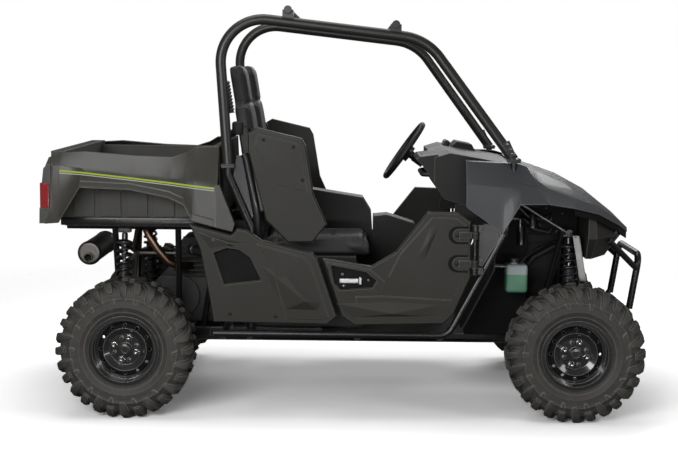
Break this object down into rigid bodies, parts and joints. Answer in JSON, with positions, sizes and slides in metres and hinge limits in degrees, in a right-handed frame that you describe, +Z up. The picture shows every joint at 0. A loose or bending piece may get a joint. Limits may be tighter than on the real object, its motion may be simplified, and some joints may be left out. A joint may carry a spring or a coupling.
{
  "type": "utility terrain vehicle",
  "caption": "Side-by-side utility terrain vehicle with seats under an open roll cage, low doors, a cargo box and knobbly tyres",
  "frame": {"origin": "on the ground, under the middle of the overall length and width", "axes": "+X forward, the way the vehicle drives; +Y to the driver's left; +Z up"},
  "size_m": [2.93, 1.524, 1.9464],
  "materials": {
    "tyre_rubber": "matte",
    "rim_black": "gloss",
    "frame_black": "satin",
    "cage_black": "satin",
    "arm_black": "satin",
    "shock_steel": "gloss",
    "cast_alloy": "satin",
    "engine_alloy": "satin",
    "exhaust_steel": "satin",
    "charcoal_plastic": "matte",
    "cabin_plastic": "matte",
    "slate_paint": "satin",
    "bed_grey": "satin",
    "bottle_white": "satin",
    "box_plastic": "matte",
    "seat_vinyl": "matte",
    "grip_plastic": "matte",
    "lamp_clear": "gloss",
    "lamp_red": "gloss",
    "skid_plastic": "matte"
  },
  "bodies": {
    "chassis": {"hub_carriers_rear": "cast_alloy", "suspension_arms_front": "arm_black", "suspension_arms_rear": "arm_black", "shocks_front": "shock_steel", "shocks_rear": "shock_steel", "front_drive": "engine_alloy", "rear_drive": "engine_alloy", "engine": "engine_alloy", "frame_centre": "frame_black", "frame_front": "frame_black", "frame_rear": "frame_black", "cabin_frame": "frame_black", "box_frame": "frame_black", "hitch_receiver": "frame_black", "skid_plate": "skid_plastic", "steering_column": "cabin_plastic", "floor_pan": "cabin_plastic", "seat_box": "cabin_plastic", "centre_console": "cabin_plastic", "dash": "cabin_plastic", "seat_cushions": "seat_vinyl", "seat_backs": "seat_vinyl", "shoulder_bolsters": "charcoal_plastic", "side_panels": "charcoal_plastic", "hood": "slate_paint", "front_fenders": "slate_paint", "front_grille": "charcoal_plastic", "under_hood_bin": "charcoal_plastic", "radiator": "engine_alloy", "coolant_bottle": "bottle_white", "headlamps": "lamp_clear", "front_guard": "frame_black", "cage_sides": "cage_black", "cage_crossbars": "cage_black", "cargo_box": "box_plastic", "bed_fenders": "bed_grey", "tail_lamps": "lamp_red", "muffler": "exhaust_steel"},
    "wheel_front_left": {"tyre_front_left": "tyre_rubber", "rim_front_left": "rim_black"},
    "wheel_front_right": {"tyre_front_right": "tyre_rubber", "rim_front_right": "rim_black"},
    "wheel_rear_left": {"tyre_rear_left": "tyre_rubber", "rim_rear_left": "rim_black"},
    "wheel_rear_right": {"tyre_rear_right": "tyre_rubber", "rim_rear_right": "rim_black"},
    "upright_left": {"knuckle_front_left": "cast_alloy"},
    "upright_right": {"knuckle_front_right": "cast_alloy"},
    "steering_rack": {"tie_rods": "arm_black"},
    "steering_hand_wheel": {"steering_wheel": "grip_plastic"},
    "left_door": {"door_left": "charcoal_plastic"},
    "right_door": {"door_right": "charcoal_plastic"}
  },
  "joints": [
    {"name": "steer_left", "type": "hinge", "parent": "chassis", "child": "upright_left", "pos_m": [1.069, 0.585, 0.327], "axis": [0, 0, 1], "range_deg": [-30, 30]},
    {"name": "steer_right", "type": "hinge", "parent": "chassis", "child": "upright_right", "pos_m": [1.069, -0.585, 0.327], "axis": [0, 0, 1], "range_deg": [-30, 30]},
    {"name": "hand_wheel", "type": "hinge", "parent": "chassis", "child": "steering_hand_wheel", "pos_m": [0.286, 0.3, 1.222], "axis": [-0.8192, 0, 0.5736], "range_deg": [-270, 270]},
    {"name": "rack", "type": "slide", "parent": "chassis", "child": "steering_rack", "axis": [0, -1, 0], "range_m": [-0.05236, 0.05236]},
    {"name": "spin_front_left", "type": "hinge", "parent": "upright_left", "child": "wheel_front_left", "pos_m": [1.069, 0.6605, 0.327], "axis": [0, 1, 0], "continuous": true},
    {"name": "spin_front_right", "type": "hinge", "parent": "upright_right", "child": "wheel_front_right", "pos_m": [1.069, -0.6605, 0.327], "axis": [0, 1, 0], "continuous": true},
    {"name": "spin_rear_left", "type": "hinge", "parent": "chassis", "child": "wheel_rear_left", "pos_m": [-1.057, 0.635, 0.327], "axis": [0, 1, 0], "continuous": true},
    {"name": "spin_rear_right", "type": "hinge", "parent": "chassis", "child": "wheel_rear_right", "pos_m": [-1.057, -0.635, 0.327], "axis": [0, 1, 0], "continuous": true},
    {"name": "open_door_left", "type": "hinge", "parent": "chassis", "child": "left_door", "pos_m": [0.584, 0.714, 0.818], "axis": [0, 0, -1], "range_deg": [0, 70]},
    {"name": "open_door_right", "type": "hinge", "parent": "chassis", "child": "right_door", "pos_m": [0.584, -0.714, 0.818], "axis": [0, 0, 1], "range_deg": [0, 70]}
  ],
  "couplings": [
    {"joint": "steer_right", "follows": "steer_left", "ratio": 1},
    {"joint": "hand_wheel", "follows": "steer_left", "ratio": 9},
    {"joint": "rack", "follows": "steer_left", "m_per_rad": 0.1}
  ]
}
